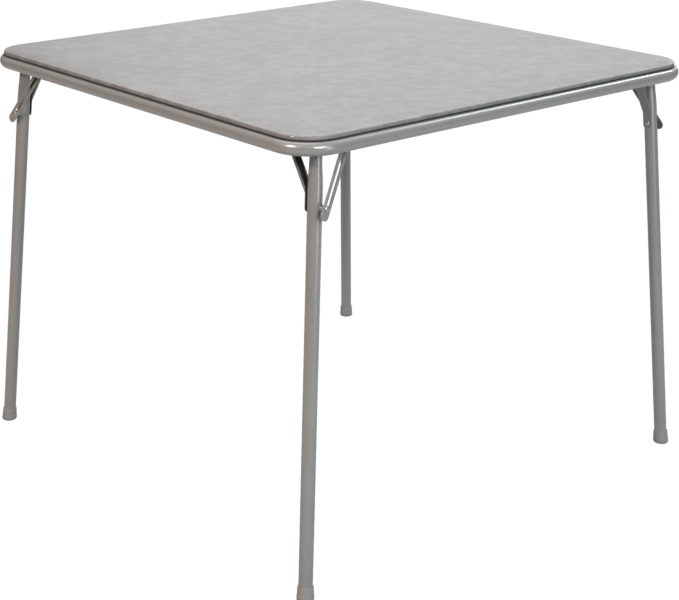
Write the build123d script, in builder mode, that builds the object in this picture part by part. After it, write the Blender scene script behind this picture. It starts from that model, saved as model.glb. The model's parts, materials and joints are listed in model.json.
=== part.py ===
from build123d import *
import math
import os

# Folding card table: a padded square top on a round steel tube frame, with four splayed legs
# that fold in a pinwheel, each held open by a slotted lock link and a side strut.
# Millimetres, +Z up, origin on the floor under the middle of the top.
# Each corner is a quarter turn of the front left one, where a leg folds towards +X.

os.makedirs("parts", exist_ok=True)

# Whole table
table_width = 864.0
table_height = 711.0
half_width = table_width / 2
corner_names = ["front_left", "front_right", "back_right", "back_left"]
quarter_turn = 90.0

# Frame tube, bent in two halves that meet over a sleeve beside the middle of two sides
rail_diameter = 22.0
rail_wall = 1.2
rail_radius = rail_diameter / 2
frame_corner_radius = 66.0
bend_radius = frame_corner_radius - rail_radius
seam_gap = 0.4
seam_shift = 30.0
sleeve_length = 90.0
sleeve_wall = 1.5
sleeve_fit = 0.1

# Padded top: board, foam and vinyl cover
cover_inset = 7.6
cover_thickness = 0.8
cover_wrap = 13.9
cover_fit = 0.1
pad_height = 7.75
pad_seat_gap = 1.25
board_thickness = 3.0
shoulder_drop = 1.9
shoulder_run = 11.0
edge_round = 1.2
crown_round = 30.0

# Heights that follow
rail_top = table_height - pad_height - pad_seat_gap
rail_height = rail_top - rail_radius
cover_bottom = table_height - pad_height
board_bottom = cover_bottom + cover_thickness
board_top = board_bottom + board_thickness

# Staples that hold the wrapped cover to the board
staple_count = 13
staple_length = 10.0
staple_width = 1.2
staple_thickness = 0.6
staple_pitch = 58.0
staple_from_edge = 10.5

# Sheet metal brackets
plate_thickness = 2.0
weld_gap = 0.15
flange_height = 19.0
tab_width = 20.0
tab_reach = 24.0
tab_spread = 150.0
plate_margin = 14.0
plate_depth = 15.0
bracket_inset = rail_diameter + weld_gap

# Screws up into the board
screw_diameter = 3.6
screw_head_diameter = 7.4
screw_head_height = 2.0
screw_fit = 0.05
screw_grip = 2.4
screw_taper = 25.0
bracket_screw_ahead = 30.0
bracket_screw_behind = 20.0
bracket_screw_near = 2.0
bracket_screw_far = 32.0

# Leg hinge: where its line crosses the leg, measured in from the outside of the frame
hinge_drop = 7.0
hinge_height = rail_height - hinge_drop
hinge_inset_x = 60.7
hinge_inset_y = 43.0
hinge_tilt = 8.5
hinge_turn = 11.0
hinge_pin_diameter = 6.0
pin_fit = 0.06
rivet_head_height = 1.5
rivet_head_diameter = 10.0
rivet_taper = 30.0
ear_radius = 10.0
ear_drop = 10.0
ear_round = 9.0
inner_ear_distance = 11.2

# Leg tube: how far the foot stands out from under its hinge, and the swaged neck
foot_out_x = 56.9
foot_out_y = 47.3
leg_diameter = 22.0
leg_wall = 1.2
neck_diameter = 18.4
neck_above_hinge = 10.0
neck_length = 14.0
neck_taper = 46.0
leg_radius = leg_diameter / 2
neck_radius = neck_diameter / 2

# Rubber foot cap
cap_height = 24.0
cap_rim_diameter = 24.8
cap_foot_diameter = 27.0
cap_floor_round = 3.6
cap_band = 9.0
cap_floor = 5.0
cap_fit = 0.05
cap_rim_round = 0.7

# Side strut, a pressed channel from the leg up to the hinge line
strut_width = 15.0
strut_sheet = 1.6
strut_reach = 40.0
strut_tab_low = 93.0
strut_bend_low = 65.0
strut_bend_high = 8.5
strut_top = 8.0
strut_flange = 2.6
strut_end_round = 6.0
strut_gap = 0.15
strut_rivet_drop = 84.0
strut_rivet_diameter = 5.0
strut_rivet_head = 8.4
strut_rivet_head_height = 1.5
strut_pivot_gap = 0.3
strut_ear_radius = 8.6
strut_ear_round = 7.6

# Slotted lock link and the stud that it locks over
link_distance = 12.2
link_sheet = 1.8
link_half_width = 8.2
link_pivot_x = 59.0
link_pivot_up = 4.7
link_gap = 0.3
link_tip_past_stud = 19.0
slot_width = 5.6
slot_start = 24.2
slot_play = 0.2
link_pivot_diameter = 6.0
link_head_height = 1.3
stud_drop = 86.8
stud_offset = 2.0
stud_diameter = 9.0
stud_seat = 0.1
slot_rivet_diameter = 5.2
slot_rivet_head = 8.8
slot_rivet_head_height = 1.8

# Directions of the front left corner
tilt = math.radians(hinge_tilt)
along = Vector(1, 0, 0).rotate(Axis.Z, hinge_turn)
hinge_line = Vector(0, math.cos(tilt), -math.sin(tilt)).rotate(Axis.Z, hinge_turn)
hinge_point = Vector(hinge_inset_x - half_width, hinge_inset_y - half_width, hinge_height)
leg_down = Vector(-foot_out_x, -foot_out_y, -hinge_height).normalized()
leg_side = (hinge_line - leg_down * hinge_line.dot(leg_down)).normalized()
leg_length = Vector(foot_out_x, foot_out_y, hinge_height).length

# In the hinge plane x runs nearly along the side rail, y up and z outwards along the pin.
# In the leg plane x runs from the leg to the strut, y up the leg and z nearly along the rail.
hinge_plane = Plane(origin=hinge_point, x_dir=along, z_dir=hinge_line * -1)
leg_plane = Plane(origin=hinge_point, x_dir=leg_side, z_dir=leg_side.cross(leg_down * -1))
leg_axis = Axis(origin=hinge_point, direction=leg_down)

# Places of the link pivot and of the stud in the hinge plane
leg_lean = math.atan2(leg_down.dot(along), -leg_down.dot(hinge_plane.y_dir))
leg_shrink = math.hypot(leg_down.dot(along), leg_down.dot(hinge_plane.y_dir))
stud_x = stud_drop * leg_shrink * math.sin(leg_lean) + stud_offset * math.cos(leg_lean)
stud_y = stud_offset * math.sin(leg_lean) - stud_drop * leg_shrink * math.cos(leg_lean)
link_length = math.hypot(link_pivot_x - stud_x, link_pivot_up - stud_y)
link_plane = Plane(
    origin=hinge_plane.from_local_coords(Vector(link_pivot_x, link_pivot_up, 0)),
    x_dir=along * (stud_x - link_pivot_x) + hinge_plane.y_dir * (stud_y - link_pivot_up),
    z_dir=hinge_line * -1,
)
stud_plane = Plane(
    origin=hinge_plane.from_local_coords(Vector(stud_x, stud_y, 0)),
    x_dir=along,
    z_dir=hinge_line * -1,
)
rivet_plane = Plane(
    origin=leg_plane.from_local_coords(Vector(0, -strut_rivet_drop, 0)),
    x_dir=leg_plane.z_dir,
    z_dir=leg_side,
)

# Faces across the hinge line, measured out from the leg
link_inner = link_distance - link_sheet / 2
link_outer = link_inner + link_sheet
outer_ear_face = link_outer + link_gap
strut_ear_face = strut_reach + strut_sheet / 2 + strut_pivot_gap


def rounded_square(inset):
    """Draw the table's outline, drawn in from the outside of the frame."""
    side = table_width - 2 * inset
    RectangleRounded(side, side, frame_corner_radius - inset)


def pad_form(inset, bottom, top):
    """Make a crowned pad: straight sides, a rounded shoulder and a flat middle."""
    with BuildPart() as form:
        with BuildSketch(Plane.XY.offset(bottom)):
            rounded_square(inset)
        extrude(amount=top - bottom)
        top_face = form.faces().sort_by(Axis.Z)[-1]
        chamfer(top_face.edges(), length=shoulder_run, length2=shoulder_drop, reference=top_face)
        shoulder_height = top - shoulder_drop
        low_edges = form.edges().filter_by_position(
            Axis.Z, shoulder_height - cover_fit, shoulder_height + cover_fit
        )
        fillet(low_edges, radius=edge_round)
        fillet(form.faces().sort_by(Axis.Z)[-1].edges(), radius=crown_round)
    return form.part


def headed_rivet(plane, bottom, top, shank, head, low_head, high_head):
    """Make a rivet along a plane's normal, its shank from bottom to top, domed past each end."""
    with BuildPart() as rivet:
        with BuildSketch(plane.offset(bottom)):
            Circle(shank / 2)
        extrude(amount=top - bottom)
        if high_head:
            with BuildSketch(plane.offset(top)):
                Circle(head / 2)
            extrude(amount=high_head, taper=rivet_taper)
        if low_head:
            with BuildSketch(plane.offset(bottom)):
                Circle(head / 2)
            extrude(amount=-low_head, taper=rivet_taper)
    return rivet.part


def save(part, name):
    """Name a finished piece and write it."""
    part.label = name
    export_step(part, f"parts/{name}.step")


# Frame: one half, bent round two corners, and its turned twin
with BuildPart() as frame_half_front:
    with BuildLine(Plane.XY.offset(rail_height)) as rail_path:
        rail_reach = half_width - rail_radius
        FilletPolyline(
            (-rail_reach, -seam_shift - seam_gap / 2),
            (-rail_reach, -rail_reach),
            (rail_reach, -rail_reach),
            (rail_reach, seam_shift - seam_gap / 2),
            radius=bend_radius,
        )
    with BuildSketch(Plane(origin=rail_path.line @ 0, z_dir=rail_path.line % 0)):
        Circle(rail_radius)
        Circle(rail_radius - rail_wall, mode=Mode.SUBTRACT)
    sweep()
save(frame_half_front.part, "frame_half_front")
save(frame_half_front.part.rotate(Axis.Z, 2 * quarter_turn), "frame_half_back")

# Sleeves inside the tube, across each seam
with BuildPart() as frame_sleeves:
    sleeve_radius = rail_radius - rail_wall - sleeve_fit
    for side in (-1, 1):
        sleeve_end = Plane(
            origin=(
                side * (half_width - rail_radius),
                side * seam_shift - sleeve_length / 2,
                rail_height,
            ),
            z_dir=(0, 1, 0),
        )
        with BuildSketch(sleeve_end):
            Circle(sleeve_radius)
            Circle(sleeve_radius - sleeve_wall, mode=Mode.SUBTRACT)
        extrude(amount=sleeve_length)
save(frame_sleeves.part, "frame_sleeves")

# Places of the screws: one through each tab, two through each hinge bracket
tab_screw_inset = bracket_inset + plate_thickness + tab_reach / 2
tab_screw_place = half_width - tab_screw_inset
bracket_screw_places = [
    (hinge_point.X + bracket_screw_ahead, hinge_point.Y + bracket_screw_near),
    (hinge_point.X - bracket_screw_behind, hinge_point.Y + bracket_screw_far),
]
screw_places = [(side * tab_spread, -tab_screw_place) for side in (-1, 1)] + bracket_screw_places


def around_table(points):
    """Repeat points of the front side on all four sides."""
    places = []
    for turn in range(len(corner_names)):
        angle = math.radians(turn * quarter_turn)
        for x, y in points:
            turned_x = x * math.cos(angle) - y * math.sin(angle)
            turned_y = x * math.sin(angle) + y * math.cos(angle)
            places.append((turned_x, turned_y))
    return places


all_screw_places = around_table(screw_places)

# Board
with BuildPart() as panel_board:
    with BuildSketch(Plane.XY.offset(board_bottom)):
        rounded_square(cover_inset + cover_thickness + cover_fit)
        with Locations(all_screw_places):
            Circle(screw_diameter / 2 + screw_fit, mode=Mode.SUBTRACT)
    extrude(amount=board_thickness)
save(panel_board.part, "panel_board")

# Foam
foam_top = table_height - cover_thickness - cover_fit
foam_pad = pad_form(cover_inset + cover_thickness + cover_fit, board_top, foam_top)
save(foam_pad, "foam_pad")

# Vinyl cover, wrapped round the board's edge
cover_outside = pad_form(cover_inset, cover_bottom, table_height)
cover_inside = pad_form(
    cover_inset + cover_thickness, board_bottom, table_height - cover_thickness
)
with BuildPart() as vinyl_cover:
    add(cover_outside)
    add(cover_inside, mode=Mode.SUBTRACT)
    with BuildSketch(Plane.XY.offset(cover_bottom)):
        rounded_square(cover_inset + cover_wrap)
    extrude(amount=cover_thickness, mode=Mode.SUBTRACT)
save(vinyl_cover.part, "vinyl_cover")

# Staples, flat under the wrapped edge
with BuildPart() as cover_staples:
    staple_line = half_width - cover_inset - staple_from_edge
    staple_row = [
        ((index - (staple_count - 1) / 2) * staple_pitch, -staple_line)
        for index in range(staple_count)
    ]
    for turn in range(len(corner_names)):
        row_plane = Plane.XY.offset(cover_bottom).rotated((0, 0, turn * quarter_turn))
        with BuildSketch(row_plane):
            with Locations(staple_row):
                Rectangle(staple_length, staple_width)
        extrude(amount=-staple_thickness)
save(cover_staples.part, "cover_staples")

# Panel tabs: angle pieces on the inside of the rails, two to a side
with BuildPart() as panel_tabs:
    for turn in range(len(corner_names)):
        side_plane = Plane.XY.offset(board_bottom).rotated((0, 0, turn * quarter_turn))
        for side in (-1, 1):
            with BuildSketch(side_plane):
                with Locations((side * tab_spread, bracket_inset - half_width)):
                    Rectangle(tab_width, tab_reach, align=(Align.CENTER, Align.MIN))
                with Locations((side * tab_spread, -tab_screw_place)):
                    Circle(screw_diameter / 2 + screw_fit, mode=Mode.SUBTRACT)
            extrude(amount=-plate_thickness)
            with BuildSketch(side_plane):
                with Locations((side * tab_spread, bracket_inset - half_width)):
                    Rectangle(tab_width, plate_thickness, align=(Align.CENTER, Align.MIN))
            extrude(amount=-flange_height)
save(panel_tabs.part, "panel_tabs")

# Screws from below
with BuildPart() as panel_screws:
    head_plane = Plane.XY.offset(board_bottom - plate_thickness)
    with BuildSketch(head_plane):
        with Locations(all_screw_places):
            Circle(screw_head_diameter / 2)
    extrude(amount=-screw_head_height, taper=screw_taper)
    with BuildSketch(head_plane):
        with Locations(all_screw_places):
            Circle(screw_diameter / 2)
    extrude(amount=plate_thickness + screw_grip)
save(panel_screws.part, "panel_screws")

# Hinge bracket: a plate under the board, flanges on both rails and ears for the three pivots
with BuildPart() as hinge_bracket:
    rail_face = bracket_inset - half_width
    plate_right = link_pivot_x + plate_margin
    plate_back = strut_reach + ear_radius
    with BuildSketch(Plane.XY.offset(board_bottom)):
        with Locations((rail_face, rail_face)):
            Rectangle(
                hinge_point.X + plate_right - rail_face,
                hinge_point.Y + plate_depth - rail_face,
                align=(Align.MIN, Align.MIN),
            )
            Rectangle(
                hinge_point.X + plate_margin - rail_face,
                hinge_point.Y + plate_back - rail_face,
                align=(Align.MIN, Align.MIN),
            )
        with BuildSketch(mode=Mode.INTERSECT):
            rounded_square(bracket_inset)
        with Locations(bracket_screw_places):
            Circle(screw_diameter / 2 + screw_fit, mode=Mode.SUBTRACT)
    extrude(amount=-plate_thickness)
    with BuildSketch(Plane.XY.offset(board_bottom)):
        with Locations((hinge_point.X + plate_margin, rail_face)):
            Rectangle(link_pivot_x, plate_thickness, align=(Align.MIN, Align.MIN))
        with Locations((rail_face, hinge_point.Y + plate_back)):
            Rectangle(plate_thickness, plate_back / 2, align=(Align.MIN, Align.MAX))
    extrude(amount=-flange_height)
    plate_middle = board_bottom - plate_thickness / 2 - hinge_height
    outer_ear_top = (plate_middle - outer_ear_face * math.sin(tilt)) / math.cos(tilt)
    inner_ear_top = (plate_middle + inner_ear_distance * math.sin(tilt)) / math.cos(tilt)
    strut_ear_top = (plate_middle + strut_ear_face * math.sin(tilt)) / math.cos(tilt)
    with BuildSketch(hinge_plane.offset(outer_ear_face)):
        with Locations((-ear_radius, -ear_drop)):
            outer_ear = Rectangle(
                link_pivot_x + 2 * ear_radius, outer_ear_top + ear_drop, align=(Align.MIN, Align.MIN)
            )
        fillet(outer_ear.vertices().group_by(Axis.Z)[0], radius=ear_round)
        Circle(hinge_pin_diameter / 2 + pin_fit, mode=Mode.SUBTRACT)
        with Locations((link_pivot_x, link_pivot_up)):
            Circle(link_pivot_diameter / 2 + pin_fit, mode=Mode.SUBTRACT)
    extrude(amount=plate_thickness)
    with BuildSketch(hinge_plane.offset(-inner_ear_distance)):
        with Locations((-ear_radius, -ear_drop)):
            inner_ear = Rectangle(
                2 * ear_radius, inner_ear_top + ear_drop, align=(Align.MIN, Align.MIN)
            )
        fillet(inner_ear.vertices().group_by(Axis.Z)[0], radius=ear_round)
        Circle(hinge_pin_diameter / 2 + pin_fit, mode=Mode.SUBTRACT)
    extrude(amount=-plate_thickness)
    with BuildSketch(hinge_plane.offset(-strut_ear_face)):
        with Locations((-strut_ear_radius, -strut_ear_radius)):
            strut_ear = Rectangle(
                2 * strut_ear_radius,
                strut_ear_top + strut_ear_radius,
                align=(Align.MIN, Align.MIN),
            )
        fillet(strut_ear.vertices().group_by(Axis.Z)[0], radius=strut_ear_round)
        Circle(strut_rivet_diameter / 2 + pin_fit, mode=Mode.SUBTRACT)
    extrude(amount=-plate_thickness)

# Hinge pin through both ears and the leg's neck, and the pivots of the link and the strut
hinge_pin = headed_rivet(
    hinge_plane,
    -inner_ear_distance - plate_thickness,
    outer_ear_face + plate_thickness,
    hinge_pin_diameter,
    rivet_head_diameter,
    rivet_head_height,
    rivet_head_height,
)
link_pivot_rivet = headed_rivet(
    link_plane,
    link_inner,
    outer_ear_face + plate_thickness,
    link_pivot_diameter,
    rivet_head_diameter,
    link_head_height,
    rivet_head_height,
)
strut_pivot_rivet = headed_rivet(
    hinge_plane,
    -strut_ear_face - plate_thickness,
    strut_sheet / 2 - strut_reach,
    strut_rivet_diameter,
    strut_rivet_head,
    strut_rivet_head_height,
    strut_rivet_head_height,
)

# Leg tube, swaged to a neck at the top
tube_end = leg_length - cap_floor
with BuildPart() as leg_tube:
    with BuildSketch(leg_plane):
        with BuildLine():
            Polyline(
                (neck_radius, neck_above_hinge),
                (neck_radius, -neck_length),
                (leg_radius, -neck_length - neck_taper),
                (leg_radius, -tube_end),
                (leg_radius - leg_wall, -tube_end),
                (leg_radius - leg_wall, -neck_length - neck_taper),
                (neck_radius - leg_wall, -neck_length),
                (neck_radius - leg_wall, neck_above_hinge),
                close=True,
            )
        make_face()
    revolve(axis=leg_axis)
    with BuildSketch(hinge_plane.offset(-leg_diameter)):
        Circle(hinge_pin_diameter / 2 + pin_fit)
    extrude(amount=2 * leg_diameter, mode=Mode.SUBTRACT)
    with BuildSketch(rivet_plane):
        Circle(strut_rivet_diameter / 2 + pin_fit)
    extrude(amount=leg_diameter, mode=Mode.SUBTRACT)

# Side strut: a tab on the leg, a channel up to the hinge line and a tab on its ear
with BuildPart() as side_strut:
    pivot_x = strut_reach * hinge_line.dot(leg_side)
    pivot_y = -strut_reach * hinge_line.dot(leg_down)
    ear_x = -hinge_line.dot(leg_down)
    ear_y = hinge_line.dot(leg_side)
    web_low = leg_radius + strut_gap + strut_sheet / 2
    strut_route = [
        (web_low, -strut_tab_low),
        (web_low, -strut_bend_low),
        (pivot_x + ear_x * strut_bend_high, pivot_y - ear_y * strut_bend_high),
        (pivot_x - ear_x * strut_top, pivot_y + ear_y * strut_top),
    ]
    with BuildSketch(leg_plane.offset(-strut_width / 2)):
        with BuildLine():
            FilletPolyline(*strut_route, radius=strut_flange)
        trace(line_width=strut_sheet)
    extrude(amount=strut_width)
    fold_x, fold_y = strut_route[1]
    high_x, high_y = strut_route[2]
    run = math.hypot(high_x - fold_x, high_y - fold_y)
    slope_x = (high_x - fold_x) / run
    slope_y = (high_y - fold_y) / run
    start = strut_flange
    finish = run - strut_flange
    inner = strut_sheet / 2
    deep = strut_sheet / 2 + strut_flange
    flange_outline = [
        (fold_x + slope_x * start - slope_y * inner, fold_y + slope_y * start + slope_x * inner),
        (fold_x + slope_x * finish - slope_y * inner, fold_y + slope_y * finish + slope_x * inner),
        (
            fold_x + slope_x * (finish - deep) - slope_y * deep,
            fold_y + slope_y * (finish - deep) + slope_x * deep,
        ),
        (
            fold_x + slope_x * (start + deep) - slope_y * deep,
            fold_y + slope_y * (start + deep) + slope_x * deep,
        ),
    ]
    for flange_start in (-strut_width / 2, strut_width / 2 - strut_sheet):
        with BuildSketch(leg_plane.offset(flange_start)):
            with BuildLine():
                Polyline(*flange_outline, close=True)
            make_face()
        extrude(amount=strut_sheet)
    end_edges = side_strut.edges().filter_by(Axis(hinge_point, leg_side)).sort_by(Axis.Z)[:2]
    fillet(end_edges, radius=strut_end_round)
    with BuildSketch(rivet_plane):
        Circle(strut_rivet_diameter / 2 + pin_fit)
    extrude(amount=leg_diameter, mode=Mode.SUBTRACT)
    with BuildSketch(hinge_plane.offset(-strut_reach - leg_radius)):
        Circle(strut_rivet_diameter / 2 + pin_fit)
    extrude(amount=leg_diameter, mode=Mode.SUBTRACT)

strut_rivet = headed_rivet(
    rivet_plane,
    leg_radius - 2 * leg_wall,
    leg_radius + strut_gap + strut_sheet,
    strut_rivet_diameter,
    strut_rivet_head,
    0,
    strut_rivet_head_height,
)

# Slotted lock link
with BuildPart() as lock_link:
    with BuildSketch(link_plane.offset(link_inner)):
        reach = link_length + link_tip_past_stud - link_half_width
        with Locations((reach / 2, 0)):
            SlotCenterToCenter(reach, 2 * link_half_width)
        slot_end = link_length + slot_play
        with Locations(((slot_start + slot_end) / 2, 0)):
            SlotCenterToCenter(slot_end - slot_start, slot_width, mode=Mode.SUBTRACT)
        Circle(link_pivot_diameter / 2 + pin_fit, mode=Mode.SUBTRACT)
    extrude(amount=link_sheet)

# Stud on the leg, scribed to the tube, and the rivet head that closes it outside the link
with BuildPart() as leg_stud:
    with BuildSketch(stud_plane):
        Circle(stud_diameter / 2)
    extrude(amount=link_inner - link_gap)
    with BuildSketch(Plane(origin=hinge_point, z_dir=leg_down)):
        Circle(leg_radius + stud_seat)
    extrude(amount=leg_length, mode=Mode.SUBTRACT)

slot_rivet = headed_rivet(
    stud_plane,
    link_inner,
    link_outer,
    slot_rivet_diameter,
    slot_rivet_head,
    0,
    slot_rivet_head_height,
)

# Foot cap, turned on the leg's axis and cut flat at the floor
with BuildPart() as foot_cap:
    rim = cap_height - leg_length
    with BuildSketch(leg_plane):
        with BuildLine():
            Polyline(
                (0, -leg_length - cap_floor),
                (cap_foot_diameter / 2, -leg_length - cap_floor),
                (cap_foot_diameter / 2, -leg_length + cap_band),
                (cap_rim_diameter / 2, rim),
                (leg_radius + cap_fit, rim),
                (leg_radius + cap_fit, -tube_end),
                (0, -tube_end),
                close=True,
            )
        make_face()
    revolve(axis=leg_axis)
    split(bisect_by=Plane.XY, keep=Keep.TOP)
    floor_edges = foot_cap.faces().sort_by(Axis.Z)[0].edges()
    fillet(floor_edges, radius=cap_floor_round)
    fillet(foot_cap.edges().filter_by(GeomType.CIRCLE).sort_by(Axis.Z)[-1], radius=cap_rim_round)

corner_pieces = {
    "hinge_bracket": hinge_bracket.part,
    "hinge_pin": hinge_pin,
    "link_pivot_rivet": link_pivot_rivet,
    "strut_pivot_rivet": strut_pivot_rivet,
    "leg_tube": leg_tube.part,
    "side_strut": side_strut.part,
    "strut_rivet": strut_rivet,
    "lock_link": lock_link.part,
    "leg_stud": leg_stud.part,
    "slot_rivet": slot_rivet,
    "foot_cap": foot_cap.part,
}
for turn, corner in enumerate(corner_names):
    for name, piece in corner_pieces.items():
        save(piece.rotate(Axis.Z, turn * quarter_turn), f"{name}_{corner}")
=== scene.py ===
"""Folding card table: meshes, finishes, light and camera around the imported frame.

Metres, +Z up, origin on the floor under the middle of the top. Every corner is the front left
one, where the leg folds towards +X, turned by quarter turns.
"""

from __future__ import annotations

import json
import logging
import math
from dataclasses import dataclass
from enum import Enum

import bmesh
import bpy
from mathutils import Matrix, Vector

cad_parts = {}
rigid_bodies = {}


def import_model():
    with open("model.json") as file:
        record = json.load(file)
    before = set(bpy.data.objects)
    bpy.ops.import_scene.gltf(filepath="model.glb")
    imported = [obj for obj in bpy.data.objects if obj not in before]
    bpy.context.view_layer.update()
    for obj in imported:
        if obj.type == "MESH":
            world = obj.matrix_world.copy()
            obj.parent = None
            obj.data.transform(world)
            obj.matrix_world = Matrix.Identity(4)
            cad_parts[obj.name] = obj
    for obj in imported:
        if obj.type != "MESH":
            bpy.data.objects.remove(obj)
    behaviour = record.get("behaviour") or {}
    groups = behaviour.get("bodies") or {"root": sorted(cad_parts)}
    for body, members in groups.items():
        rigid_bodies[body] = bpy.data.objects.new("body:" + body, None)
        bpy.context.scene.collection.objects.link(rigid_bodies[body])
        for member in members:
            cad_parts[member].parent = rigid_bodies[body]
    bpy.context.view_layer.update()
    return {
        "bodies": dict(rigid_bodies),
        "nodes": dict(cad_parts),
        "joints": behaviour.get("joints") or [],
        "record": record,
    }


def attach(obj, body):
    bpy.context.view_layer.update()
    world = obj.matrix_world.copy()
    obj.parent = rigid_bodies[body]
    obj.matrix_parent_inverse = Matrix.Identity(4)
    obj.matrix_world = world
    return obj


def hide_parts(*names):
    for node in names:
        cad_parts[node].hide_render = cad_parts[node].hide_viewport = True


LOG = logging.getLogger("card_table")
FULL_TURN = 2 * math.pi
QUARTER_TURN = math.pi / 2
MERGE = 1e-6
# A short ring by a tube's end keeps the worn paint of that end from running along the tube.
LIP = 0.0008
RIGHT, BACK, UP = Vector((1.0, 0.0, 0.0)), Vector((0.0, 1.0, 0.0)), Vector((0.0, 0.0, 1.0))
WHITE = (1.0, 1.0, 1.0)
Colour = Point = tuple[float, float, float]
Pair = tuple[float, float]
Profile = list[Pair]
Mesh = bmesh.types.BMesh
Edges = list[bmesh.types.BMEdge]
Socket = bpy.types.NodeSocket
Sockets = dict[str | int, object] | None


class Corner(Enum):
    """The four corners, with the quarter turns that lead to each from the front left."""

    FRONT_LEFT = 0
    FRONT_RIGHT = 1
    BACK_RIGHT = 2
    BACK_LEFT = 3

    @property
    def turn(self) -> Matrix:
        """The rotation that takes a front left piece to this corner."""
        return Matrix.Rotation(self.value * QUARTER_TURN, 4, "Z")


class Body(Enum):
    """The moving groups of the frame."""

    FRAME = "frame"
    LEG = "leg"
    LINK = "link"


# Shader network


class Value:
    """A number that varies over a surface, as a socket that takes part in Python sums."""

    def __init__(self, net: Net, socket: Socket) -> None:
        """Keep the network and the output socket that carries the number."""
        self.net = net
        self.socket = socket

    def __add__(self, other: Value | float) -> Value:
        """Add a value or a number."""
        return self.net.maths("ADD", self, other)

    def __sub__(self, other: Value | float) -> Value:
        """Take a value or a number away."""
        return self.net.maths("SUBTRACT", self, other)

    def __rsub__(self, other: float) -> Value:
        """Take this away from a number."""
        return self.net.maths("SUBTRACT", other, self)

    def __mul__(self, other: Value | float) -> Value:
        """Multiply by a value or a number."""
        return self.net.maths("MULTIPLY", self, other)

    __radd__ = __add__

    def smooth(self, low: float, high: float) -> Value:
        """Ease from 0 at low to 1 at high."""
        sockets = {"Value": self, "From Min": low, "From Max": high}
        return self.net.read("MapRange", "Result", sockets, interpolation_type="SMOOTHSTEP")


class Net:
    """A node network under construction, a material's or the room's."""

    def __init__(self, owner: bpy.types.Material | bpy.types.World) -> None:
        """Empty the node tree of a material or the room, and start a network there."""
        owner.use_nodes = True
        self.tree = owner.node_tree
        self.tree.nodes.clear()
        self.place = self.node("TexCoord").outputs["Object"]

    def node(self, kind: str, sockets: Sockets = None, **settings: object) -> bpy.types.Node:
        """Add one node.

        Args:
            kind: The node's type, after the word ShaderNode.
            sockets: Values or links for its inputs, by name or number, or None to leave one.
            settings: Its own settings, set first.

        Returns:
            The node.
        """
        made = self.tree.nodes.new(f"ShaderNode{kind}")
        for key, value in settings.items():
            setattr(made, key, value)
        for key, value in (sockets or {}).items():
            if value is not None:
                self.feed(made.inputs[key], value)
        return made

    def read(
        self, kind: str, output: str | int, sockets: Sockets = None, **settings: object
    ) -> Value:
        """Add one node as node() does, and take one of its outputs as a Value."""
        return Value(self, self.node(kind, sockets, **settings).outputs[output])

    def feed(self, socket: Socket, value: object) -> None:
        """Link or set an input.

        Args:
            socket: The input.
            value: A Value, a socket, a node's first output as the node, a number or a colour.
        """
        if isinstance(value, Value):
            value = value.socket
        elif isinstance(value, bpy.types.Node):
            value = value.outputs[0]
        if isinstance(value, Socket):
            self.tree.links.new(value, socket)
        else:
            socket.default_value = (*value, 1.0) if socket.type == "RGBA" else value

    def maths(self, operation: str, *values: Value | float) -> Value:
        """Join values with one Math node."""
        return self.read("Math", 0, dict(enumerate(values)), operation=operation)

    def stretched(self, scale: Point, turn: Point = (0.0, 0.0, 0.0)) -> Socket:
        """Stretch the object's own coordinates along each axis and turn them, in radians."""
        sockets = {"Vector": self.place, "Scale": scale, "Rotation": turn}
        return self.node("Mapping", sockets).outputs["Vector"]

    def warped(self, scale: float, reach: float) -> bpy.types.Node:
        """Push the object's coordinates about with a soft noise.

        Args:
            scale: The noise's scale, per metre.
            reach: How far a point may move, in metres.

        Returns:
            A node whose first output is the pushed vector.
        """
        push = self.node("TexNoise", {"Vector": self.place, "Scale": scale, "Detail": 2.0})
        sockets = {0: push.outputs["Color"], 1: (0.5, 0.5, 0.5)}
        centred = self.node("VectorMath", sockets, operation="SUBTRACT")
        scaled = self.node("VectorMath", {0: centred, "Scale": 2 * reach}, operation="SCALE")
        return self.node("VectorMath", {0: self.place, 1: scaled}, operation="ADD")

    def noise(
        self, scale: float, detail: float = 2.0, roughness: float = 0.5, vector: object = None
    ) -> Value:
        """Add a noise texture, about 0.5 in the middle, with its scale per metre."""
        sockets = {"Vector": vector or self.place, "Scale": scale, "Detail": detail}
        return self.read("TexNoise", "Fac", {**sockets, "Roughness": roughness})

    def cells(self, scale: float, feature: str = "F1", vector: object = None) -> Value:
        """Add a Voronoi texture, with its scale per metre, and read the feature's distance."""
        sockets = {"Vector": vector or self.place, "Scale": scale}
        return self.read("TexVoronoi", "Distance", sockets, feature=feature)

    def parts(self, vector: Socket) -> list[Value]:
        """Take a vector apart into x, y and z."""
        made = self.node("SeparateXYZ", {0: vector})
        return [Value(self, socket) for socket in made.outputs]

    def height(self) -> Value:
        """Read how high a point is above the floor, in metres."""
        return self.parts(self.place)[2]

    def legward(self) -> Value:
        """Read how squarely a face looks from the strut to its leg, alike at every corner.

        Returns:
            1 where it looks straight at the leg, -1 where it looks away.
        """
        x, y, _ = (self.maths("SIGN", part) for part in self.parts(self.place))
        across, along, _ = self.parts(self.node("TexCoord").outputs["Normal"])
        return (across * (x - y) + along * (x + y)) * 0.5

    def mix(self, share: Value, first: object, second: object) -> Socket:
        """Blend two colours or links to them, where share says how much the second shows."""
        sockets = {0: share, 6: first, 7: second}
        return self.node("Mix", sockets, data_type="RGBA").outputs[2]

    def bump(
        self, height: Value, distance: float, strength: float, below: Socket | None = None
    ) -> Socket:
        """Add a bump, whose distance in metres is a height of 1, over a coarser one or none."""
        sockets = {"Height": height, "Distance": distance, "Strength": strength, "Normal": below}
        return self.node("Bump", sockets).outputs["Normal"]

    def surface(self, **sockets: object) -> None:
        """Close the network with a Principled surface; its inputs have underscores for spaces."""
        named = {key.replace("_", " "): value for key, value in sockets.items()}
        self.node("OutputMaterial", {"Surface": self.node("BsdfPrincipled", named)})


# Finishes


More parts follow.
